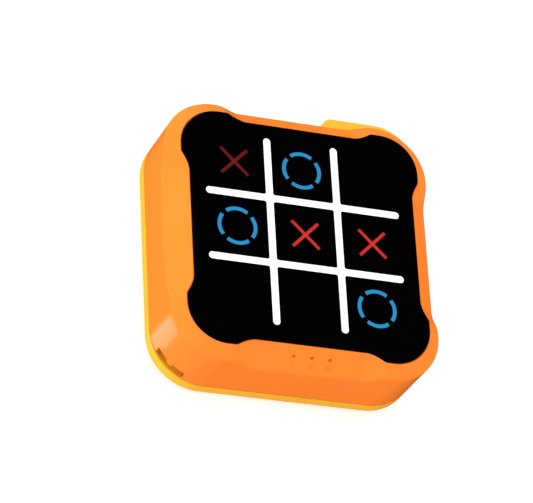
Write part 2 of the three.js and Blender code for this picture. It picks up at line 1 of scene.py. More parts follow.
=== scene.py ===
"""A handheld electronic tic-tac-toe game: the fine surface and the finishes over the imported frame.
Lengths in this script are millimetres until put() scales them to metres."""

import math

import bmesh
import bpy
from mathutils import Matrix, Vector


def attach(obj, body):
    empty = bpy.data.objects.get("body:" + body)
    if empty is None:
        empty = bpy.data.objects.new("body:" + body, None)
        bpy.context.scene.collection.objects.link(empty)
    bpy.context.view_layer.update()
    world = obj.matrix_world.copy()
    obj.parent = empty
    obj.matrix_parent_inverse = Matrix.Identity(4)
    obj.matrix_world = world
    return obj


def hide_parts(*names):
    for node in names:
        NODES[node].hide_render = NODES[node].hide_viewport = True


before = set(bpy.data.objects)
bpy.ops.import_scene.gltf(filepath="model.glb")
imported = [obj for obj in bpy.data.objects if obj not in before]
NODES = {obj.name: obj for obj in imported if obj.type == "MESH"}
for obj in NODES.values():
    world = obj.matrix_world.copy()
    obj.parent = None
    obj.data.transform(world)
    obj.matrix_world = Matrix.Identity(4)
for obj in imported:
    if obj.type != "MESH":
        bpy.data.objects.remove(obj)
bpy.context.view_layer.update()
MM = 0.001

# ---- Dimensions, in millimetres ----

CENTRE = 24.6  # of each corner's arc, in x and y
BODY, INSIDE = 40.0, 37.8  # outer and inner face of the side walls
WALL_TOP_MID, WALL_TOP_EAR = 19.4, 22.4  # where the walls end, along a side and at a corner
RISE_FROM, RISE_LENGTH = 15.8, 8.2  # how the walls' top climbs between the two, along a side
BEZEL_TOP, BEZEL_OUT = 24.9, 0.6  # the sloping bezel's upper edge, and how far outside the panel
PANEL_MID, PANEL_EAR = 33.5, 35.7  # the panel's edge, along a side and at an ear
EAR_FROM, EAR_TO = 16.3, 21.9  # where along a side an ear's shoulder starts and ends
LEAN = math.atan2(BEZEL_TOP - WALL_TOP_MID, BODY - PANEL_MID - BEZEL_OUT)  # of the bezel
SEAM_LOW, SEAM_HIGH = 4.75, 5.05  # upper edge of the cover and lower edge of the housing
LEDGE_HIGH, LEDGE_LOW = 24.0, 22.7  # the ledge that the panel lies on
FACE_Z = 25.96  # the panel's face
PRINT_Z = FACE_Z + 0.002  # where printing and lit marks start, clear of the face
PITCH, GRID_X = 20.28, -0.4  # of the nine cells, and the grid's shift in x
GRID_WIDTH, GRID_END, GRID_FILLET = 2.1, 29.1, 0.65
RING_OUT, RING_IN = 5.9, 4.78
RING_ARC_OUT, RING_ARC_IN = 35.4, 36.6  # half the degrees each arc spans, at its two radii
CROSS_REACH, CROSS_STROKE = 4.3, 0.95
BUTTON = {"x0": 10.6, "x1": 34.6, "z0": 11.0, "z1": 18.0, "top": 43.7, "inside": 34.8}
BUTTON_ROUND, BUTTON_EDGE = 2.9, 0.45  # its upper left corner, and its edges
BUTTON_LIP = {"x": 26.9, "r": 12.0, "end": 38.4, "lift": 1.3}
BUTTON_GAP = 0.3  # round the button in its slot
NOTCHES = [25.4, 41.5, 48.5, 64.6]  # degrees round the corner: two notches, a tooth between them
NOTCH_TOP, TOOTH_TOP = 8.3, 7.0
HOLES = [(-4.7, -36.45), (0.7, -36.45), (6.1, -36.45)]  # the indicators
HOLE_R = 0.5
SPEAKER = (-8.0, 18.4)
TUB = {"x": 25.2, "y0": -34.6, "y1": -2.5, "z": 13.6, "wall": 1.4}  # the battery tub
DOOR_SCREW = (29.0, -18.5)
DOOR_HOOKS = (-6.0, -31.0)
PILLARS = [(29.8, 25.0), (-29.8, 25.0), (-29.8, -25.0), (29.8, -25.0)]  # for the case screws
CELL_Z, CELL_R, CELL_LENGTH = 7.45, 5.25, 44.5
CELL_YS = [-29.2, -18.55, -7.9]


# ---- Mesh making ----


def put(name, points, faces, body, slot, material, sharp=32.0):
    """A closed mesh from points in millimetres, riding on a body."""
    mesh = bpy.data.meshes.new(name)
    mesh.from_pydata([tuple(c * MM for c in p) for p in points], [], faces)
    shape = bmesh.new()
    shape.from_mesh(mesh)
    bmesh.ops.remove_doubles(shape, verts=shape.verts, dist=1e-7)
    bmesh.ops.recalc_face_normals(shape, faces=shape.faces)
    shape.to_mesh(mesh)
    shape.free()
    piece = bpy.data.objects.new(name, mesh)
    bpy.context.scene.collection.objects.link(piece)
    if material is not None:
        dress(piece, body, slot, material)
    smooth(piece, sharp)
    return piece


def dress(piece, body, slot, material):
    """Gives a piece its one finish and the body it rides on. The slot is not used."""
    piece.data.materials.clear()
    piece.data.materials.append(material)
    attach(piece, body)


def smooth(piece, sharp):
    piece.data.shade_smooth()
    piece.data.set_sharp_from_angle(angle=math.radians(sharp))


def settle(piece):
    """The mesh as its modifiers leave it, with none of them left."""
    ready = piece.evaluated_get(bpy.context.evaluated_depsgraph_get())
    made = bpy.data.meshes.new_from_object(ready)
    piece.modifiers.clear()
    old = piece.data
    piece.data = made
    made.name = piece.name
    bpy.data.meshes.remove(old)


def smooth_even(piece, sharp):
    """Smooth shading in which large faces stay flat and only the roundings between them turn."""
    smooth(piece, sharp)
    even = piece.modifiers.new("even", "WEIGHTED_NORMAL")
    even.keep_sharp = True
    even.weight = 100
    settle(piece)


def combine(piece, others, how):
    """Joins to or cuts from a piece each of the others, which are then dropped."""
    for other in others:
        step = piece.modifiers.new("step", "BOOLEAN")
        step.operation = how
        step.solver = "MANIFOLD"
        step.object = other
        settle(piece)
        bpy.data.objects.remove(other)


def tidy(piece):
    """Merges the flat pieces that cutting leaves, so that each flat face is one face."""
    shape = bmesh.new()
    shape.from_mesh(piece.data)
    bmesh.ops.dissolve_degenerate(shape, edges=shape.edges, dist=2e-6)
    bmesh.ops.dissolve_limit(
        shape, angle_limit=math.radians(0.3), verts=shape.verts, edges=shape.edges
    )
    shape.to_mesh(piece.data)
    shape.free()


def skin(rings):
    """Quads through rings of equal count, with the first and last ring capped."""
    count = len(rings[0])
    points = [p for ring in rings for p in ring]
    faces = []
    for r in range(len(rings) - 1):
        a, b = r * count, (r + 1) * count
        for i in range(count):
            j = (i + 1) % count
            faces.append((a + i, a + j, b + j, b + i))
    faces.append(tuple(range(count))[::-1])
    faces.append(tuple(range(len(points) - count, len(points))))
    return points, faces


def lathe(profile, place, sides=48):
    """A solid turned from (radius, height) pairs; place puts (a, b, height) in the frame."""
    rings = []
    for radius, height in profile:
        ring = []
        for i in range(sides):
            angle = 2 * math.pi * i / sides
            ring.append(place(radius * math.cos(angle), radius * math.sin(angle), height))
        rings.append(ring)
    return skin(rings)


def rounded(corners, steps=8):
    """A closed outline from (x, y, radius) corners, anticlockwise."""
    out = []
    count = len(corners)
    for i, (x, y, r) in enumerate(corners):
        here = Vector((x, y))
        before = (Vector(corners[i - 1][:2]) - here).normalized()
        after = (Vector(corners[(i + 1) % count][:2]) - here).normalized()
        if r <= 1e-6:
            out.append((x, y))
            continue
        half = before.angle(after) / 2
        reach = r / math.tan(half)
        middle = here + (before + after).normalized() * (r / math.sin(half))
        start = here + before * reach - middle
        end = here + after * reach - middle
        turn = start.angle_signed(end)
        for k in range(steps + 1):
            spun = start.copy()
            spun.rotate(Matrix.Rotation(-turn * k / steps, 2))
            out.append(tuple(middle + spun))
    return out


def rectangle(x0, x1, y0, y1, r, steps=8):
    """A rectangle's outline with its corners rounded to r."""
    return rounded([(x0, y0, r), (x1, y0, r), (x1, y1, r), (x0, y1, r)], steps)


def levels(outline, heights):
    """Rings of outline(extra) at each (extra, z)."""
    return [[(x, y, z) for x, y in outline(extra)] for extra, z in heights]


def prism(outline, z0, z1):
    """A plain prism over a list of (x, y)."""
    return skin([[(x, y, z) for x, y in outline] for z in (z0, z1)])


def slab(outline, z0, z1, low=0.0, high=0.0, steps=4):
    """A slab whose lower and upper edges have those roundings."""
    heights = []
    for k in range(steps + 1 if low else 1):
        angle = math.pi / 2 * k / steps
        heights.append((-low * (1 - math.sin(angle)), z0 + low * (1 - math.cos(angle))))
    for k in range(steps + 1 if high else 1):
        angle = math.pi / 2 * k / steps
        heights.append((-high * (1 - math.cos(angle)), z1 - high * (1 - math.sin(angle))))
    return skin(levels(outline, heights))


def flared(outline, z0, z1, flare):
    """A cutter up from below z = 0, with a rounded mouth at z = 0."""
    steps = 4
    heights = [(flare, z0)]
    for k in range(steps + 1):
        angle = math.pi / 2 * k / steps
        heights.append((flare * (1 - math.sin(angle)), flare * (1 - math.cos(angle))))
    heights.append((0, z1))
    return skin(levels(outline, heights))


def disc(x, y, r, sides=40):
    """A round outline, as a function of how much it is widened."""

    def outline(extra):
        out = []
        for i in range(sides):
            angle = 2 * math.pi * i / sides
            out.append((x + (r + extra) * math.cos(angle), y + (r + extra) * math.sin(angle)))
        return out

    return outline


def tool(points, faces):
    """A mesh that is only there to be joined to a piece or cut from it."""
    return put("tool", points, faces, None, None, None)


def block(x, y, z, r=0.0):
    """A plain block with upright edges of radius r."""
    return tool(*prism(rectangle(*x, *y, r, 4), *z))


def sweep(path, radius, sides=12):
    """A round wire along points, with ends closed."""
    rings = []
    up = Vector((0, 0, 1))
    for i, p in enumerate(path):
        ahead = Vector(path[min(i + 1, len(path) - 1)]) - Vector(path[max(i - 1, 0)])
        ahead.normalize()
        side = ahead.cross(up)
        if side.length < 1e-4:
            side = ahead.cross(Vector((0, 1, 0)))
        side.normalize()
        over = side.cross(ahead)
        ring = []
        for k in range(sides):
            angle = 2 * math.pi * k / sides
            off = side * (radius * math.cos(angle)), over * (radius * math.sin(angle))
            ring.append(tuple(Vector(p) + off[0] + off[1]))
        rings.append(ring)
    return skin(rings)


def merged(*made):
    """Several (points, faces) as one."""
    points, faces = [], []
    for p, f in made:
        start = len(points)
        points += p
        faces += [tuple(start + i for i in face) for face in f]
    return points, faces


# ---- The case's outline ----


def spread(low, high, gap):
    """Even steps of about gap, from low up to but not at high."""
    count = max(1, round((high - low) / gap))
    return [low + (high - low) * i / count for i in range(count)]


def stations(extra_u=(), extra_angle=()):
    """Places round the case, ("side", quarter, u) and ("arc", quarter, degrees). The extra ones,
    as (quarter, value), take the place of any that lie close to them."""
    fine_from, fine_to = RISE_FROM, 22.6  # fine steps over the ears' shoulders
    even = spread(-CENTRE, -fine_to, 1.0) + spread(-fine_to, -fine_from, 0.34)
    even += spread(-fine_from, fine_from, 1.5)
    even += spread(fine_from, fine_to, 0.34) + spread(fine_to, CENTRE, 1.0)
    out = []
    for quarter in range(4):
        for kind, values, extras, close in (
            ("side", even, extra_u, 0.3),
            ("arc", spread(0, 90, 3), extra_angle, 1.2),
        ):
            wanted = [v for q, v in extras if q == quarter]
            kept = [v for v in values if all(abs(v - w) > close for w in wanted)] + wanted
            out += [(kind, quarter, v) for v in sorted(kept)]
    return out


def ear(station):
    """0 along the middle of a side and 1 at an ear, with a soft foot and a firm shoulder."""
    kind, _, u = station
    if kind == "arc":
        return 1.0
    s = (abs(u) - EAR_FROM) / (EAR_TO - EAR_FROM)
    if s <= 0:
        return 0.0
    soft = 0.035
    rise = s**1.7
    if rise > 1.5:
        return 1.0
    return -soft * math.log(math.exp(-rise / soft) + math.exp(-1 / soft))


def wide_ear(station):
    """0 along the middle of a side and 1 at a corner, with a long even climb."""
    kind, _, u = station
    if kind == "arc":
        return 1.0
    t = min(1.0, max(0.0, (abs(u) - RISE_FROM) / RISE_LENGTH))
    return (1 - math.cos(math.pi * t)) / 2


def place(station, d, z):
    """The point at distance d from the case's middle, measured square to the side."""
    kind, quarter, u = station
    if kind == "side":
        x, y = d, u
    else:
        angle = math.radians(u)
        x = CENTRE + (d - CENTRE) * math.cos(angle)
        y = CENTRE + (d - CENTRE) * math.sin(angle)
    for _ in range(quarter):
        x, y = -y, x
    return (x, y, z)


def panel_edge(station):
    return PANEL_MID + (PANEL_EAR - PANEL_MID) * ear(station)


def facet_z(y):
    """Height of the sloping bezel on the side of the indicators."""
    return BEZEL_TOP - (-y - PANEL_MID - BEZEL_OUT) * math.tan(LEAN)


def fillet(p0, p1, p2, reach, steps=6):
    """Points that round the corner p1 of p0-p1-p2, starting and ending reach away from it."""
    a = Vector(p1) + (Vector(p0) - Vector(p1)).normalized() * reach
    b = Vector(p1) + (Vector(p2) - Vector(p1)).normalized() * reach
    corner = Vector(p1)
    out = []
    for k in range(steps + 1):
        t = k / steps
        out.append(tuple(a * (1 - t) ** 2 + corner * 2 * t * (1 - t) + b * t * t))
    return out


# ---- Finishes ----


def material(name):
    """A new material, its node tree and its shader."""
    made = bpy.data.materials.new(name)
    made.use_nodes = True
    tree = made.node_tree
    tree.nodes.clear()
    out = tree.nodes.new("ShaderNodeOutputMaterial")
    shader = tree.nodes.new("ShaderNodeBsdfPrincipled")
    tree.links.new(shader.outputs[0], out.inputs[0])
    return made, tree, shader


def noise(tree, scale, detail=3.0, rough=0.5):
    at = tree.nodes.new("ShaderNodeTexCoord")
    made = tree.nodes.new("ShaderNodeTexNoise")
    made.inputs["Scale"].default_value = scale
    made.inputs["Detail"].default_value = detail
    made.inputs["Roughness"].default_value = rough
    tree.links.new(at.outputs["Object"], made.inputs["Vector"])
    return made.outputs["Fac"]


def ranged(tree, value, low, high, from_low=0.3, from_high=0.7):
    made = tree.nodes.new("ShaderNodeMapRange")
    made.inputs["From Min"].default_value = from_low
    made.inputs["From Max"].default_value = from_high
    made.inputs["To Min"].default_value = low
    made.inputs["To Max"].default_value = high
    tree.links.new(value, made.inputs["Value"])
    return made.outputs[0]


def blend_colours(tree, factor, a, b):
    made = tree.nodes.new("ShaderNodeMix")
    made.data_type = "RGBA"
    made.inputs[6].default_value = (*a, 1)
    made.inputs[7].default_value = (*b, 1)
    tree.links.new(factor, made.inputs[0])
    return made.outputs[2]


def mottle(tree, shader, colours, colour_noise, rough=None, rough_noise=(500, 3.0)):
    """A colour that wanders between two near ones, and a roughness between two values. Each noise
    is (scale, detail, roughness), as noise() takes it. Returns the colour's pattern."""
    patch = ranged(tree, noise(tree, *colour_noise), 0.0, 1.0)
    tree.links.new(blend_colours(tree, patch, *colours), shader.inputs["Base Color"])
    if rough:
        polish = ranged(tree, noise(tree, *rough_noise), *rough)
        tree.links.new(polish, shader.inputs["Roughness"])
    return patch


def bumped(tree, shader, height, strength, distance):
    made = tree.nodes.new("ShaderNodeBump")
    made.inputs["Strength"].default_value = strength
    made.inputs["Distance"].default_value = distance
    tree.links.new(height, made.inputs["Height"])
    tree.links.new(made.outputs[0], shader.inputs["Normal"])


def moulded(name, light, dark, rough=(0.17, 0.25), grain=(2600, 0.12, 0.00003)):
    """Moulded plastic: faint flow marks in the colour, and a fine grain."""
    made, tree, shader = material(name)
    mottle(tree, shader, (light, dark), (42, 4.0, 0.55), rough, (120, 2.0))
    bumped(tree, shader, noise(tree, grain[0], 2.0), grain[1], grain[2])
    shader.inputs["Specular IOR Level"].default_value = 0.32
    return made


def metal(name, light, dark, rough=(0.22, 0.38)):
    """Plated or drawn metal with fine scratches and uneven polish."""
    made, tree, shader = material(name)
    mottle(tree, shader, (light, dark), (260, 3.0), rough, (900, 4.0, 0.7))
    bumped(tree, shader, noise(tree, 3200, 2.0), 0.1, 0.00002)
    # full metal would mirror only darkness here, since the sky and floor are kept out of gloss
    shader.inputs["Metallic"].default_value = 0.45
    return made


ORANGE = moulded("orange_plastic", (0.95, 0.218, 0.023), (0.93, 0.209, 0.020))
YELLOW = moulded("yellow_plastic", (0.91, 0.448, 0.03), (0.89, 0.432, 0.027))
STEEL = metal("plated_steel", (0.62, 0.63, 0.65), (0.5, 0.51, 0.53))
SPRING = metal("spring_steel", (0.68, 0.67, 0.64), (0.56, 0.55, 0.52), (0.16, 0.3))
DARK = moulded("dark_plastic", (0.012, 0.012, 0.014), (0.02, 0.02, 0.022), (0.45, 0.6))


def glass_black():
    """The panel: black behind a hard gloss, with only the faintest unevenness in its polish."""
    made, tree, shader = material("black_panel")
    colours = (0.0003, 0.0003, 0.0004), (0.0008, 0.0008, 0.0009)
    mottle(tree, shader, colours, (30, 3.0), (0.045, 0.075), (90, 3.0))
    shader.inputs["Specular IOR Level"].default_value = 0.2
    return made


def black_edge():
    """The panel's cut edge: black paint without gloss."""
    made, tree, shader = material("black_edge")
    colours = (0.0006, 0.0006, 0.0006), (0.0012, 0.0012, 0.0012)
    mottle(tree, shader, colours, (200, 3.0), (0.6, 0.8))
    shader.inputs["Specular IOR Level"].default_value = 0.0
    return made


def ink():
    """White printing: opaque and a little satin."""
    made, tree, shader = material("white_ink")
    mottle(tree, shader, ((0.93, 0.93, 0.93), (0.9, 0.9, 0.9)), (160, 4.0), (0.35, 0.5), (300, 3.0))
    shader.inputs["Specular IOR Level"].default_value = 0.3
    return made


def glow(name, centre, colour, core, reach):
    """A lit mark: brightest near its lamp and a little weaker away from it."""
    made, tree, shader = material(name)
    at = tree.nodes.new("ShaderNodeTexCoord")
    away = tree.nodes.new("ShaderNodeVectorMath")
    away.operation = "DISTANCE"
    away.inputs[1].default_value = (centre[0] * MM, centre[1] * MM, FACE_Z * MM)
    tree.links.new(at.outputs["Object"], away.inputs[0])
    near = ranged(tree, away.outputs["Value"], 1.0, 0.0, 0.0, reach * MM)
    tree.links.new(blend_colours(tree, near, colour, core), shader.inputs["Emission Color"])
    shader.inputs["Emission Strength"].default_value = 1.0
    shader.inputs["Base Color"].default_value = (0.002, 0.002, 0.002, 1)
    shader.inputs["Roughness"].default_value = 0.3
    shader.inputs["Specular IOR Level"].default_value = 0.2
    return made


# ---- Front housing ----


WALL_ZS = [5.3, 6.2, TOOTH_TOP, NOTCH_TOP]
WALL_ZS += [BUTTON["z0"] - BUTTON_GAP, 14.5, BUTTON["z1"] + BUTTON_GAP]


def housing_profile(station):
    """The housing's section as (distance, z), from the seam up its outside and down its inside."""
    edge = panel_edge(station)
    climb = wide_ear(station)
    top = WALL_TOP_MID + (WALL_TOP_EAR - WALL_TOP_MID) * climb
    rim = (edge + 0.4, BEZEL_TOP + 0.06)
    recess, recess_z = edge + 0.06, 24.5
    shoulder = fillet((BODY, 10), (BODY, top), rim, 1.0 - 0.35 * climb)
    foot = Vector(shoulder[-1])
    near = Vector(rim) + (foot - Vector(rim)) * 0.04
    facet = [tuple(foot.lerp(near, k / 5)) for k in range(1, 6)]
    out = [(BODY - 0.25, SEAM_HIGH), (BODY - 0.07, SEAM_HIGH + 0.07)]
    out += [(BODY, z) for z in WALL_ZS]
    out += shoulder + facet
    out += fillet(facet[-2], rim, (recess, recess_z), 0.16, 4)
    out += [(recess, recess_z), (recess, LEDGE_HIGH), (edge - 1.5, LEDGE_HIGH)]
    out += [(edge - 1.5, LEDGE_LOW), (INSIDE, top - 1.1)]
    out += [(INSIDE, z) for z in WALL_ZS[::-1]]
    out += [(INSIDE, SEAM_HIGH)]
    return out


def housing_shell():
    """Walls and bezel as one closed skin, with the button's slot and the lanyard notches open."""
    slot_low, slot_high = BUTTON["z0"] - BUTTON_GAP, BUTTON["z1"] + BUTTON_GAP
    slot_from = math.degrees(math.acos((BUTTON["x1"] + BUTTON_GAP - CENTRE) / (BODY - CENTRE)))
    slot_to = -BUTTON["x0"] + BUTTON_GAP
    places = stations([(1, slot_to)], [(0, slot_from)] + [(2, a) for a in NOTCHES])
    profiles = [housing_profile(s) for s in places]
    k_count = len(profiles[0])
    count = len(places)
    points = [place(s, d, z) for s, prof in zip(places, profiles) for d, z in prof]

    def at(i, k):
        return (i % count) * k_count + (k % k_count)

    # index in the profile of each wall height, outside and inside
    outer_k = {z: 2 + n for n, z in enumerate(WALL_ZS)}
    inner_k = {z: k_count - 2 - n for n, z in enumerate(WALL_ZS)}

    def index(kind, quarter, value):
        return min(
            (i for i, s in enumerate(places) if s[0] == kind and s[1] == quarter),
            key=lambda i: abs(places[i][2] - value),
        )

    start, stop = index("arc", 0, slot_from), index("side", 1, slot_to)
    edges = [index("arc", 2, a) for a in NOTCHES]
    removed = {}
    for i in range(count):
        if start <= i < stop:
            removed[i] = "button"
        if edges[0] <= i < edges[1] or edges[2] <= i < edges[3]:
            removed[i] = "notch"
        if edges[1] <= i < edges[2]:
            removed[i] = "tooth"
    top_of = {"notch": NOTCH_TOP, "tooth": TOOTH_TOP}
    faces = []
    for i in range(count):
        kind = removed.get(i)
        for k in range(k_count):
            if kind == "button" and (
                outer_k[slot_low] <= k < outer_k[slot_high]
                or inner_k[slot_high] <= k < inner_k[slot_low]
            ):
                continue
            if kind in top_of and (k < outer_k[top_of[kind]] or k >= inner_k[top_of[kind]]):
                continue
            faces.append((at(i, k), at(i + 1, k), at(i + 1, k + 1), at(i, k + 1)))
        across = {"button": (slot_low, slot_high), "notch": (NOTCH_TOP,), "tooth": (TOOTH_TOP,)}
        for z in across.get(kind, ()):
            a, b = outer_k[z], inner_k[z]
            faces.append((at(i, a), at(i + 1, a), at(i + 1, b), at(i, b)))
    # the cut ends of the slot, of the notches, and of the tooth above its own foot
    slot_end = list(range(outer_k[slot_low], outer_k[slot_high] + 1))
    slot_end += list(range(inner_k[slot_high], inner_k[slot_low] + 1))
    full = list(range(inner_k[NOTCH_TOP], k_count)) + list(range(0, outer_k[NOTCH_TOP] + 1))
    part = [inner_k[NOTCH_TOP], inner_k[TOOTH_TOP], outer_k[TOOTH_TOP], outer_k[NOTCH_TOP]]
    ends = [(start, slot_end), (stop, slot_end), (edges[0], full), (edges[3], full)]
    for i, ks in ends + [(edges[1], part), (edges[2], part)]:
        faces.append(tuple(at(i, k) for k in ks))
    return put("housing_shell", points, faces, None, None, None)


def indicator_cutters():
    """The three indicator holes, and the tally cut into the slope outward of each."""
    slope = Matrix.Rotation(LEAN, 4, "X")
    cutters = []
    for n, (x, y) in enumerate(HOLES):
        heights = [(0.0, -4.0), (0.0, -0.16), (0.05, -0.07), (0.16, 0.0), (0.5, 0.3)]
        shapes = [skin(levels(disc(0, 0, HOLE_R, 28), heights))]
        for m in range(n + 1):
            middle = (m - n / 2) * 0.75
            stroke = rectangle(middle - 0.15, middle + 0.15, -3.15, -1.55, 0.14, 3)
            shapes.append(prism(stroke, -0.16, 0.4))
        at = Vector((x, y, facet_z(y)))
        for points, faces in shapes:
            cutters.append(tool([tuple(slope @ Vector(p) + at) for p in points], faces))
    return cutters


def front_housing():
    piece = housing_shell()
    pillars = []
    for x, y in PILLARS:
        rib_x = sorted((x, math.copysign(38.2, x)))
        pillars.append(tool(*slab(disc(x, y, 2.6), 8.0, 18.1, 0.3, 0.3)))
        pillars.append(block(rib_x, (y - 0.7, y + 0.7), (9.0, 17.4)))
    combine(piece, pillars, "UNION")
    bores = [tool(*slab(disc(x, y, 1.3), 7.0, 19.0)) for x, y in PILLARS]
    combine(piece, bores + indicator_cutters(), "DIFFERENCE")
    tidy(piece)
    dress(piece, "case", "orange_shell", ORANGE)
    smooth_even(piece, 28)
    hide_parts("front_housing")


# ---- Back cover ----


def case_rings(heights):
    """Rings of the case outline at (distance, z), for shapes without ears."""
    places = stations()
    return [[place(s, d, z) for s in places] for d, z in heights]


def door_outline(extra):
    """The battery door with its tongue, seen from behind the case, anticlockwise in x and y."""
    x, y0, y1 = TUB["x"] + 1.1 + extra, TUB["y0"] - 1.1 - extra, TUB["y1"] + 1.1 + extra
    half = 3.4 + extra
    tip = DOOR_SCREW[0] + half
    sy = DOOR_SCREW[1]
    round_out = 1.4 + extra
    inner = max(0.2, 1.0 - extra)
    return rounded(
        [
            (-x, y0, round_out),
            (x, y0, round_out),
            (x, sy - half, inner),
            (tip, sy - half, half - 0.02),
            (tip, sy + half, half - 0.02),
            (x, sy + half, inner),
            (x, y1, round_out),
            (-x, y1, round_out),
        ]
    )


def corner_sector(r0, r1, a0, a1, z0, z1):
    """Part of a ring about the centre of the lanyard corner's arc, between two angles."""
    out = []
    for r, low, high in ((r1, a0, a1), (r0, a1, a0)):
        for k in range(17):
            angle = math.radians(low + (high - low) * k / 16)
            out.append((-CENTRE + r * math.cos(angle), -CENTRE + r * math.sin(angle)))
    return tool(*prism(out, z0, z1))


def cover_shell():
    """Floor, rim and the tongue inside the housing's wall, before anything is cut or added."""
    outer = []
    for k in range(9):
        angle = math.pi / 2 * k / 8
        outer.append((BODY - 2 + 2 * math.sin(angle), 2 - 2 * math.cos(angle)))
    outer += [(BODY, 3.4), (BODY, SEAM_LOW - 0.25), (BODY - 0.07, SEAM_LOW - 0.07)]
    outer += [(BODY - 0.25, SEAM_LOW), (37.5, SEAM_LOW), (37.5, 6.8), (37.3, 7.0)]
    outer += [(36.5, 7.0), (36.3, 6.8), (36.3, 2.3), (36.0, 2.0)]
    return put("cover_shell", *skin(case_rings(outer)), None, None, None)


def lanyard_pocket(piece):
    """The pit behind the notches; the wall and post round it are returned, to be added later."""
    combine(piece, [corner_sector(8.2, 19.4, 195, 255, SEAM_LOW, 12)], "DIFFERENCE")
    combine(piece, [corner_sector(8.2, 14.4, 199, 251, 1, SEAM_LOW)], "UNION")
    combine(piece, [corner_sector(9.2, 14.5, 202, 248, 4.5, 12)], "DIFFERENCE")
    reach = CENTRE + 12 / math.sqrt(2)
    post = tool(*slab(disc(-reach, -reach, 1.1, 28), 1.0, 8.2, 0.0, 0.4))
    return [corner_sector(8.2, 9.2, 199, 251, 1, 8.3), post]


def grille_slots():
    """Five rounded slots under the speaker."""
    slots = []
    for n, half in zip((-2, -1, 0, 1, 2), (4.4, 7.6, 8.6, 7.6, 4.4)):
        y = SPEAKER[1] + n * 3.4

        def outline(extra, y=y, half=half):
            x, tall = half + extra, 0.8 + extra
            return rectangle(SPEAKER[0] - x, SPEAKER[0] + x, y - tall, y + tall, 0.79 + extra)

        slots.append(tool(*flared(outline, -1.0, 3.0, 0.3)))
    return slots


def back_cover():
    piece = cover_shell()
    added = lanyard_pocket(piece)
    x, y0, y1, z, wall = TUB["x"], TUB["y0"], TUB["y1"], TUB["z"], TUB["wall"]
    sx, sy = DOOR_SCREW
    speaker_wall = tool(*slab(disc(*SPEAKER, 15.0, 64), 1.0, 4.4, 0.0, 0.3))
    added += [
        block((-x - wall, x + wall), (y0 - wall, y1 + wall), (1, z + wall), 1.0),
        tool(*slab(disc(sx, sy, 2.8), 2.0, 9.4, 0.0, 0.3)),
        block((x, 33.6), (sy - 5, sy + 5), (1, 4.2), 0.5),
        speaker_wall,
    ]
    added += [tool(*slab(disc(px, py, 3.3), 1.0, 7.7, 0.0, 0.3)) for px, py in PILLARS]
    combine(piece, added, "UNION")

    cutters = [
        tool(*slab(disc(*SPEAKER, 13.8, 64), 2.0, 6.0)),
        block((-x, x), (y0, y1), (-1, z), 0.8),
        tool(*flared(lambda extra: door_outline(0.3 + extra), -1.0, 1.9, 0.3)),
        tool(*slab(disc(sx, sy, 3.7), -1.0, 2.9)),
        tool(*slab(disc(sx, sy, 1.65), 1.0, 8.4)),
        block((x - 1, x + wall + 1), (y1 - 3.2, y1 - 1), (8, 10)),  # where the leads come through
    ]
    for y in DOOR_HOOKS:
        cutters.append(block((-x - 4.1, -x + 0.4), (y - 2.9, y + 2.9), (0.7, 3.3), 0.2))
    for px, py in PILLARS:
        cutters.append(tool(*flared(disc(px, py, 2.5), -1.0, 4.0, 0.3)))
        cutters.append(tool(*slab(disc(px, py, 1.4), 3.0, 9.0)))
    combine(piece, cutters + grille_slots(), "DIFFERENCE")
    tidy(piece)
    dress(piece, "case", "yellow_shell", YELLOW)
    smooth_even(piece, 28)
    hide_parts("back_cover")


# ---- Battery door ----


def battery_door():
    cap = slab(door_outline, 0.0, 1.6, 0.35, 0.15)
    piece = put("battery_door_cap", *cap, None, None, None)
    sx, sy = DOOR_SCREW
    added = [tool(*slab(disc(sx, sy, 3.4), 1.4, 2.6, 0.0, 0.25))]
    x = TUB["x"]
    for y in DOOR_HOOKS:
        hook = rectangle(-x - 3.4, -x + 1, y - 2.4, y + 2.4, 0.6, 4)
        added.append(tool(*prism(hook, 1.05, 1.9)))
    for y in (TUB["y0"] + 1.2, TUB["y1"] - 1.2):
        added.append(block((-x + 2, x - 2), (y - 0.4, y + 0.4), (1.5, 2.15), 0.2))
    combine(piece, added, "UNION")
    cutters = [
        tool(*flared(disc(sx, sy, 2.5), -1.0, 1.6, 0.25)),
        tool(*slab(disc(sx, sy, 1.45), 1.0, 4.0)),
    ]
    for n in range(5):  # the finger grooves
        gx = 16.4 + n * 1.5
        groove = rectangle(gx - 0.3, gx + 0.3, sy - 5.5, sy + 5.5, 0.29, 4)
        cutters.append(tool(*prism(groove, -0.5, 0.3)))
    combine(piece, cutters, "DIFFERENCE")
    tidy(piece)
    dress(piece, "door", "yellow_shell", YELLOW)
    smooth_even(piece, 28)
    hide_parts("battery_door")


# ---- Panel, printing and lit marks ----


def front_panel():
    places = stations()
    base, rounding = 24.4, 0.2
    rings = []
    profile = [(-0.12, base), (0.0, base + 0.12), (0.0, FACE_Z - rounding)]
    for k in range(1, 6):
        angle = math.pi / 2 * k / 5
        inset, drop = rounding * (1 - math.cos(angle)), rounding * (1 - math.sin(angle))
        profile.append((-inset, FACE_Z - drop))
    for inset, z in profile:
        rings.append([place(s, panel_edge(s) + inset, z) for s in places])
    piece = put("touch_panel", *skin(rings), "case", "black_panel", glass_black(), 50)
    piece.data.materials.append(black_edge())
    for face in piece.data.polygons:
        if face.normal.z < 0.995:
            face.material_index = 1
    smooth_even(piece, 50)
    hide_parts("front_panel")


def mark(name, outlines, thick, slot, finish):
    """Flat outlines laid on the panel's face as one piece."""
    made = [prism(outline, PRINT_Z, FACE_Z + thick) for outline in outlines]
    return put(name, *merged(*made), "case", slot, finish)


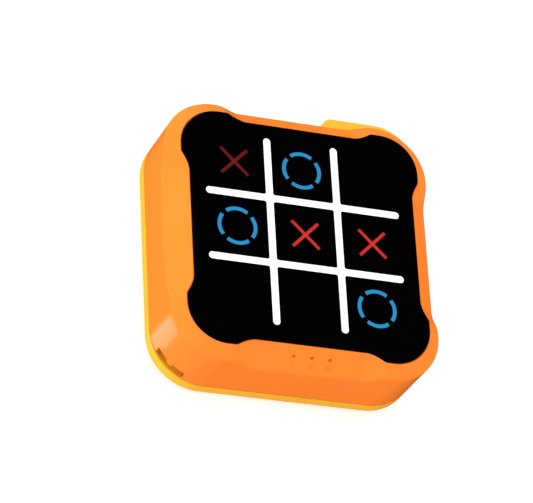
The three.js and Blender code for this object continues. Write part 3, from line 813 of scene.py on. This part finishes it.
def printed_grid():
    """The grid lines: each is a round-ended bar, and the crossings are filled at their corners."""
    h, end, line, r = GRID_WIDTH / 2, GRID_END, PITCH / 2, GRID_FILLET
    outlines = []
    for s in (-1, 1):
        x, y = GRID_X + s * line, s * line
        outlines.append(rectangle(x - h, x + h, -end, end, h - 0.01, 12))
        outlines.append(rectangle(GRID_X - end, GRID_X + end, y - h, y + h, h - 0.01, 12))
    for sx in (-1, 1):
        for sy in (-1, 1):
            crossing = []
            for q in range(4):
                turn = Matrix.Rotation(math.pi / 2 * q, 2)
                for k in range(7):
                    a = math.pi * 1.5 - math.pi / 2 * k / 6
                    p = turn @ Vector((h + r + r * math.cos(a), h + r + r * math.sin(a)))
                    crossing.append((GRID_X + sx * line + p.x, sy * line + p.y))
            outlines.append(crossing)
    thick = 0.02
    base = mark("printed_grid", outlines[:1], thick, None, None)
    others = [tool(*prism(outline, PRINT_Z, FACE_Z + thick)) for outline in outlines[1:]]
    combine(base, others, "UNION")
    tidy(base)
    dress(base, "case", "white_plastic", ink())
    smooth(base, 28)


# colour away from the lamp and near it
RING_LIGHT = ((0.018, 0.283, 0.575), (0.026, 0.335, 0.68))
CROSS_BRIGHT = ((0.585, 0.0235, 0.018), (0.68, 0.0315, 0.024))
CROSS_DIM = ((0.125, 0.0055, 0.0075), (0.17, 0.0065, 0.0085))
MARK_THICK = 0.012


def cell(column, row):
    """The middle of one of the nine cells; column and row run from -1 to 1."""
    return (GRID_X + column * PITCH, row * PITCH)


def ring_mark(name, column, row):
    cx, cy = cell(column, row)
    outlines = []
    for middle in (0, 90, 180, 270):
        out = []
        for r, half in ((RING_OUT, RING_ARC_OUT), (RING_IN, -RING_ARC_IN)):
            for k in range(19):
                a = math.radians(middle - half + 2 * half * k / 18)
                out.append((cx + r * math.cos(a), cy + r * math.sin(a)))
        outlines.append(out)
    finish = glow(name + "_light", (cx, cy), *RING_LIGHT, 5.9)
    mark(name, outlines, MARK_THICK, "clear_plastic", finish)


def cross_mark(name, column, row, colours):
    cx, cy = cell(column, row)
    w, r = CROSS_STROKE / math.sqrt(2), CROSS_REACH
    out = []
    for c, s in ((1, 0), (0, 1), (-1, 0), (0, -1)):
        for x, y in ((w, 0), (r, r - w), (r - w, r)):
            out.append((cx + c * x - s * y, cy + s * x + c * y))
    finish = glow(name + "_light", (cx, cy), *colours, 5.5)
    mark(name, [out], MARK_THICK, "clear_plastic", finish)


# ---- Power button ----


def button_outline(extra):
    """Beyond x1 the button is a lip outside the wall, lifted off it so that it can be pressed."""
    b, lip = BUTTON, BUTTON_LIP
    left, right, inside = b["x0"] - extra, b["x1"] + extra, b["inside"] - extra
    end = lip["end"] + extra
    # the inner corner stays clear of the slot's end, which runs square to the case's arc
    out = [(left, inside), (CENTRE + 4, inside), (right - 1.75, inside - 0.45)]
    for k in range(9):
        x = right + (end - right) * k / 8
        wall = CENTRE + math.sqrt((BODY - CENTRE) ** 2 - (x - CENTRE) ** 2)
        out.append((x, wall + lip["lift"] - extra))
    start = math.acos((end - lip["x"]) / (lip["r"] + extra))
    for k in range(25):
        a = start + (math.pi / 2 - start) * k / 24
        r = lip["r"] + extra
        out.append((lip["x"] + r * math.cos(a), b["top"] - lip["r"] + r * math.sin(a)))
    x, y = b["x0"] + BUTTON_ROUND, b["top"] - BUTTON_ROUND
    for k in range(13):
        a = math.pi / 2 * (1 + k / 12)
        r = BUTTON_ROUND + extra
        out.append((x + r * math.cos(a), y + r * math.sin(a)))
    return out


def power_button():
    x0, z0, z1 = BUTTON["x0"], BUTTON["z0"], BUTTON["z1"]
    cap = slab(button_outline, z0, z1, BUTTON_EDGE, BUTTON_EDGE, 5)
    piece = put("power_button_cap", *cap, None, None, None)
    flange = block((x0 - 2, 26), (36.0, 37.5), (z0 - 1.6, z1 + 0.2), 0.3)
    stem = block((20, 24), (32.6, 35.3), (13.3, 16.3), 0.3)
    combine(piece, [flange, stem], "UNION")
    tidy(piece)
    dress(piece, "button", "yellow_shell", YELLOW)
    smooth_even(piece, 28)
    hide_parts("power_button")


# ---- Screws ----


def screw(name, body, x, y, tip, face, head_r, head_h, shank_r):
    """A cross-recess screw along z whose head is at face, with a thread down to its tip."""
    sign = 1 if face > tip else -1
    under = face - sign * head_h

    def placed(a, b, h):
        return (x + a, y + b, h)

    dome = [
        (0.02, face),
        (head_r * 0.45, face),
        (head_r * 0.78, face - sign * 0.07),
        (head_r * 0.94, face - sign * 0.22),
        (head_r, face - sign * 0.45),
        (head_r, under + sign * 0.12),
        (head_r - 0.12, under),
        (shank_r * 0.82, under),
        (shank_r * 0.82, tip + sign * 0.8),
        (0.02, tip),
    ]
    piece = put(name, *lathe(dome, placed, 40), None, None, None)
    recess = []
    for turn in (0, 90):
        made = rectangle(-head_r * 0.55, head_r * 0.55, -0.3, 0.3, 0.12, 3)
        spun = [Matrix.Rotation(math.radians(turn + 20), 2) @ Vector(p) for p in made]
        rings = []
        for scale, rise in ((0.55, -head_h * 0.62), (1.0, -0.02), (1.1, 0.5)):
            z = face + sign * rise
            rings.append([(x + p.x * scale, y + p.y * scale, z) for p in spun])
        recess.append(tool(*skin(rings)))
    combine(piece, recess, "DIFFERENCE")
    rings = []
    lead, steps = 0.8, 20
    span = abs(under - tip) - 1.4
    for i in range(int(span / lead * steps) + 1):
        angle = 2 * math.pi * i / steps
        z = tip + sign * (0.9 + i * lead / steps)
        fade = min(1.0, i / steps, (span / lead * steps - i) / steps + 0.05)
        out_r = shank_r * 0.8 + (shank_r * 0.22) * fade
        ring = []
        root_r = shank_r * 0.74
        for radius, dz in ((root_r, -0.2), (out_r, -0.03), (out_r, 0.03), (root_r, 0.2)):
            ring.append((x + radius * math.cos(angle), y + radius * math.sin(angle), z + dz))
        rings.append(ring)
    thread = tool(*skin(rings))
    combine(piece, [thread], "UNION")
    dress(piece, body, "screw_steel", STEEL)
    smooth(piece, 35)
    return piece


# ---- Batteries and contacts ----


def battery_finish():
    """A plain dark sleeve under a clear coat."""
    made, tree, shader = material("battery_sleeve")
    mottle(tree, shader, ((0.03, 0.05, 0.085), (0.022, 0.04, 0.07)), (200, 3.0), (0.2, 0.3))
    bumped(tree, shader, noise(tree, 700, 3.0), 0.06, 0.00003)
    shader.inputs["Coat Weight"].default_value = 0.4
    return made


def battery(index, sleeve, band, ends):
    """One AAA cell along x: its sleeve, a coppery band, the positive nub and the negative foot."""
    way = -1 if index == 2 else 1
    y = CELL_YS[index - 1]
    r, half = CELL_R, CELL_LENGTH / 2
    top, foot = half - 1.0, -half

    def along(a, b, h):
        return (way * h, y + a, CELL_Z + b)

    def part(name, profile, finish):
        name = f"battery_{index}_{name}"
        return put(name, *lathe(profile, along, 56), "case", "battery_can", finish, 40)

    profile = [(0.5, foot + 0.43), (r - 1.0, foot + 0.42), (r - 0.45, foot + 0.4)]
    profile += [(r - 0.12, foot + 0.52), (r, foot + 0.9), (r, half - 15.0)]
    profile += [(r - 0.3, half - 14.98), (0.5, half - 14.98)]
    body = part("sleeve", profile, sleeve)
    profile = [(0.5, half - 14.9), (r - 0.05, half - 14.9), (r - 0.02, half - 14.85)]
    profile += [(r - 0.02, half - 2.0), (r - 0.15, half - 1.4), (r - 0.6, half - 1.1)]
    profile += [(r - 1.2, half - 1.02), (0.5, half - 1.02)]
    part("band", profile, band)
    profile = [(0.5, top), (2.9, top), (2.9, half - 0.86), (2.1, half - 0.8)]
    profile += [(1.95, half - 0.4), (1.9, half - 0.12), (1.75, half), (0.3, half)]
    part("nub", profile, ends)
    profile = [(0.3, foot + 0.05), (3.4, foot + 0.05), (3.7, foot + 0.15)]
    profile += [(3.8, foot + 0.4), (0.5, foot + 0.4)]
    part("foot", profile, ends)
    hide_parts(f"battery_{index}")


def contact(name, side, rows, spring_row=None, pip_row=None):
    """A sprung or pipped contact plate on one end wall of the tub."""
    outer = side * (TUB["x"] - 0.2)
    inner = side * (TUB["x"] - 0.6)
    y0, y1 = CELL_YS[rows[0]] - 4.2, CELL_YS[rows[-1]] + 4.2
    z0, z1 = CELL_Z - 3.6, CELL_Z + 4.2
    outline = rectangle(y0, y1, z0, z1, 1.0, 5)
    xs = sorted((inner, outer))
    parts = [skin([[(x, a, b) for a, b in outline] for x in xs])]
    if pip_row is not None:
        y = CELL_YS[pip_row]
        tip = side * (CELL_LENGTH / 2 + 0.3)
        profile = [(3.0, inner), (2.4, inner - side * 0.2), (1.7, inner - side * 0.8)]
        profile += [(1.5, tip + side * 0.3), (1.2, tip + side * 0.08), (0.2, tip)]
        parts.append(lathe(profile, lambda a, b, h, y=y: (h, y + a, CELL_Z + b), 32))
    if spring_row is not None:
        y = CELL_YS[spring_row]
        tip = side * (CELL_LENGTH / 2 - 0.1 + 0.35)
        root = side * (TUB["x"] - 0.6 - 0.3)
        path = []
        turns, steps = 4.0, 28  # steps in each turn
        for i in range(int(turns * steps) + 1):
            t = i / (turns * steps)
            angle = 2 * math.pi * turns * t
            r = 3.7 - 1.7 * t
            eased = min(1.0, max(0.0, (t - 0.12) / 0.8))
            x = root + (tip - root) * eased
            path.append((x, y + r * math.cos(angle), CELL_Z + r * math.sin(angle)))
        parts.append(sweep(path, 0.27, 10))
    piece = put(name, *merged(*parts), "case", "spring_steel", SPRING, 40)
    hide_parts("contact_" + name[: -len("_sprung")])


def indicator_lenses():
    """The light pipe: a bar under the slope, with an amber lens up each of the three holes."""
    made, tree, shader = material("amber_lens")
    amber = (0.62, 0.15, 0.002), (0.54, 0.12, 0.001)
    mottle(tree, shader, amber, (900, 2.0), (0.15, 0.3))
    shader.inputs["Specular IOR Level"].default_value = 0.2
    (x0, y), x1 = HOLES[0], HOLES[2][0]
    outline = rectangle(x0 - 1.6, x1 + 1.6, y - 0.5, -31.6, 0.2, 3)
    bar = slab(lambda extra: outline, 17.2, 18.5, 0.1, 0.1)
    foot, sunk = 18.2, 0.22  # where a prong starts, and how far its tip is below the slope
    prongs = []
    for hx, hy in HOLES:
        z = facet_z(hy) - sunk
        rings = []
        for r, drop in ((0.45, None), (0.45, 0.06), (0.4, 0.0), (0.2, -0.05)):
            ring = []
            for px, py in disc(hx, hy, r, 24)(0):
                height = foot if drop is None else z - drop + (py - hy) * math.tan(LEAN)
                ring.append((px, py, height))
            rings.append(ring)
        prongs.append(tool(*skin(rings)))
    piece = put("indicator_lenses", *bar, None, None, None)
    combine(piece, prongs, "UNION")
    dress(piece, "case", "clear_plastic", made)
    smooth(piece, 40)
    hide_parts("indicator_light_pipe")


# ---- Finishes for the frame's own nodes ----


def circuit_board():
    """Green solder mask over faint tracks."""
    made, tree, shader = material("circuit_board")
    at = tree.nodes.new("ShaderNodeTexCoord")
    cells = tree.nodes.new("ShaderNodeTexBrick")
    cells.inputs["Scale"].default_value = 240
    cells.inputs["Mortar Size"].default_value = 0.09
    cells.inputs["Color1"].default_value = (0.006, 0.11, 0.03, 1)
    cells.inputs["Color2"].default_value = (0.008, 0.14, 0.04, 1)
    cells.inputs["Mortar"].default_value = (0.02, 0.2, 0.07, 1)
    tree.links.new(at.outputs["Object"], cells.inputs["Vector"])
    tree.links.new(cells.outputs["Color"], shader.inputs["Base Color"])
    tree.links.new(ranged(tree, noise(tree, 400), 0.25, 0.4), shader.inputs["Roughness"])
    bumped(tree, shader, cells.outputs["Fac"], 0.2, 0.00003)
    return made


def clear_plastic():
    """Clear film: see-through, with a faint haze."""
    made, tree, shader = material("clear_plastic")
    mottle(tree, shader, ((0.92, 0.95, 0.97), (0.86, 0.9, 0.93)), (150, 3.0), (0.06, 0.14))
    shader.inputs["Transmission Weight"].default_value = 0.85
    shader.inputs["IOR"].default_value = 1.49
    return made


def paper():
    """Pressed paper of the speaker's cone, with fibres."""
    made, tree, shader = material("speaker_paper")
    colours = (0.02, 0.017, 0.014), (0.05, 0.042, 0.036)
    fibre = mottle(tree, shader, colours, (1200, 5.0, 0.7), (0.75, 0.95), (900, 3.0))
    bumped(tree, shader, fibre, 0.5, 0.00008)
    return made


def dress_nodes():
    """Finishes for the frame's own nodes, which no piece replaces."""
    white = moulded("white_plastic", (0.86, 0.86, 0.84), (0.82, 0.82, 0.8), (0.45, 0.6))
    black = (0.01, 0.01, 0.012), (0.018, 0.018, 0.02)
    chip = moulded("black_component", *black, (0.5, 0.65), (4000, 0.3, 0.00004))
    magnet = metal("magnet_steel", (0.36, 0.36, 0.37), (0.28, 0.28, 0.29), (0.35, 0.5))
    red_lead = moulded("red_lead", (0.5, 0.02, 0.015), (0.44, 0.016, 0.012), (0.35, 0.5))
    black_lead = moulded("black_lead", (0.012, 0.012, 0.012), (0.02, 0.02, 0.02), (0.35, 0.5))
    looks = [
        (clear_plastic(), ["touch_film"]),
        (white, ["diffuser_film", "reflector_frame"]),
        (circuit_board(), ["main_board"]),
        (chip, ["controller_chip", "capacitor", "switch_plunger"]),
        (DARK, ["speaker_frame"]),
        (paper(), ["speaker_cone"]),
        (magnet, ["speaker_magnet"]),
        (STEEL, ["tact_switch"] + [f"board_screw_{n}" for n in (1, 2, 3, 4)]),
        (red_lead, ["battery_lead_red", "speaker_lead_red"]),
        (black_lead, ["battery_lead_black", "speaker_lead_black"]),
    ]
    for finish, names in looks:
        for name in names:
            node = NODES[name]
            node.data.materials.clear()
            node.data.materials.append(finish)


# ---- Floor, light and camera ----


def floor():
    """A plain pale floor, lit to white like the photo's background and see-through from below."""
    made, tree, shader = material("pale_floor")
    mottle(tree, shader, ((0.66, 0.66, 0.66), (0.64, 0.64, 0.64)), (4, 3.0))
    shader.inputs["Roughness"].default_value = 0.9
    shader.inputs["Specular IOR Level"].default_value = 0.1
    shader.inputs["Emission Color"].default_value = (1, 1, 1, 1)
    shader.inputs["Emission Strength"].default_value = 0.46
    under = tree.nodes.new("ShaderNodeNewGeometry")
    clear = tree.nodes.new("ShaderNodeBsdfTransparent")
    either = tree.nodes.new("ShaderNodeMixShader")
    tree.links.new(under.outputs["Backfacing"], either.inputs[0])
    tree.links.new(shader.outputs[0], either.inputs[1])
    tree.links.new(clear.outputs[0], either.inputs[2])
    tree.links.new(either.outputs[0], tree.nodes["Material Output"].inputs[0])
    mesh = bpy.data.meshes.new("floor")
    half = 6.0  # metres
    corners = [(-half, -half, 0), (half, -half, 0), (half, half, 0), (-half, half, 0)]
    mesh.from_pydata(corners, [], [(0, 1, 2, 3)])
    plane = bpy.data.objects.new("floor", mesh)
    plane.location.z = -0.0002  # just clear of the case's back
    bpy.context.scene.collection.objects.link(plane)
    mesh.materials.append(made)
    plane.visible_glossy = False


def card():
    """A small white card by the case's corner, which shows only as a soft highlight there."""
    made, tree, shader = material("white_card")
    shader.inputs["Base Color"].default_value = (0, 0, 0, 1)
    shader.inputs["Specular IOR Level"].default_value = 0.0
    shader.inputs["Emission Color"].default_value = (1, 1, 1, 1)
    shader.inputs["Emission Strength"].default_value = 1.9
    edge = [(-50.4, -20.2), (-42.7, -24.8), (-42.3, -30.1)]
    edge += [(-45.1, -34.8), (-51.6, -35.2), (-53.8, -25.3)]
    mesh = bpy.data.meshes.new("corner_card")
    mesh.from_pydata([(x * MM, y * MM, 0.0) for x, y in edge], [], [range(len(edge))])
    sheet = bpy.data.objects.new("corner_card", mesh)
    bpy.context.scene.collection.objects.link(sheet)
    mesh.materials.append(made)
    sheet.visible_camera = False
    sheet.visible_diffuse = False
    sheet.visible_shadow = False


def area_light(name, at, size, power, in_gloss):
    """A soft light at a place in metres, facing the case."""
    data = bpy.data.lights.new(name, "AREA")
    data.shape = "RECTANGLE"
    data.size, data.size_y = size
    data.energy = power
    lamp = bpy.data.objects.new(name, data)
    lamp.location = at
    lamp.rotation_mode = "QUATERNION"
    lamp.rotation_quaternion = (-Vector(at)).to_track_quat("-Z", "Y")
    lamp.visible_camera = False
    lamp.visible_glossy = in_gloss
    bpy.context.scene.collection.objects.link(lamp)


def studio():
    """White surroundings and three soft lights, of which only the overhead one shows in gloss."""
    world = bpy.data.worlds.new("studio")
    bpy.context.scene.world = world
    world.use_nodes = True
    sky = world.node_tree.nodes["Background"]
    sky.inputs[0].default_value = (1, 1, 1, 1)
    sky.inputs[1].default_value = 1.0
    world.cycles_visibility.glossy = False
    area_light("key", (-0.98, 0.06, 0.15), (0.5, 0.3), 5.5, False)
    area_light("overhead", (0.05, 0.1, 1.2), (0.6, 0.6), 4.8, True)
    area_light("far", (-0.1, 0.95, 0.25), (0.5, 0.3), 1.6, False)
    bpy.context.scene.view_settings.view_transform = "Standard"


def camera():
    """The photo's camera, solved from the printed grid and the lit marks."""
    data = bpy.data.cameras.new("camera")
    data.lens = 205.55
    data.sensor_width = 36
    made = bpy.data.objects.new("camera", data)
    right = Vector((0.9302, -0.0492, 0.3637)).normalized()
    forward = Vector((0.34524, 0.45370, -0.82156)).normalized()
    up = right.cross(forward).normalized()
    right = forward.cross(up).normalized()
    turn = Matrix((right, up, -forward)).transposed()
    made.rotation_mode = "QUATERNION"
    made.rotation_quaternion = turn.to_quaternion()
    made.location = Vector((-302.36, -387.89, 715.87)) * MM
    data.clip_start, data.clip_end = 0.01, 50
    bpy.context.scene.collection.objects.link(made)
    bpy.context.scene.camera = made


# ---- Everything in place ----

camera()
front_housing()
front_panel()
printed_grid()
cross_mark("cross_top_left", -1, 1, CROSS_DIM)
ring_mark("ring_top_middle", 0, 1)
ring_mark("ring_middle_left", -1, 0)
cross_mark("cross_middle", 0, 0, CROSS_BRIGHT)
cross_mark("cross_middle_right", 1, 0, CROSS_BRIGHT)
ring_mark("ring_bottom_right", 1, -1)
back_cover()
battery_door()
power_button()
for number, (px, py) in enumerate(PILLARS, 1):
    made = screw(f"case_screw_{number}_cross", "case", px, py, 13.4, 2.2, 2.1, 1.5, 1.05)
    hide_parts(f"case_screw_{number}")
made = screw("battery_door_screw_cross", "door_screw", *DOOR_SCREW, 7.4, 0.2, 2.2, 1.1, 1.1)
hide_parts("battery_door_screw")
SLEEVE = battery_finish()
BAND = metal("battery_band", (0.66, 0.34, 0.17), (0.58, 0.29, 0.14), (0.2, 0.3))
for number in (1, 2, 3):
    battery(number, SLEEVE, BAND, STEEL)
contact("positive_sprung", 1, [2], pip_row=2)
contact("negative_sprung", -1, [0], spring_row=0)
contact("bridge_right_sprung", 1, [0, 1], spring_row=1, pip_row=0)
contact("bridge_left_sprung", -1, [1, 2], spring_row=2, pip_row=1)
indicator_lenses()
dress_nodes()
floor()
card()
studio()
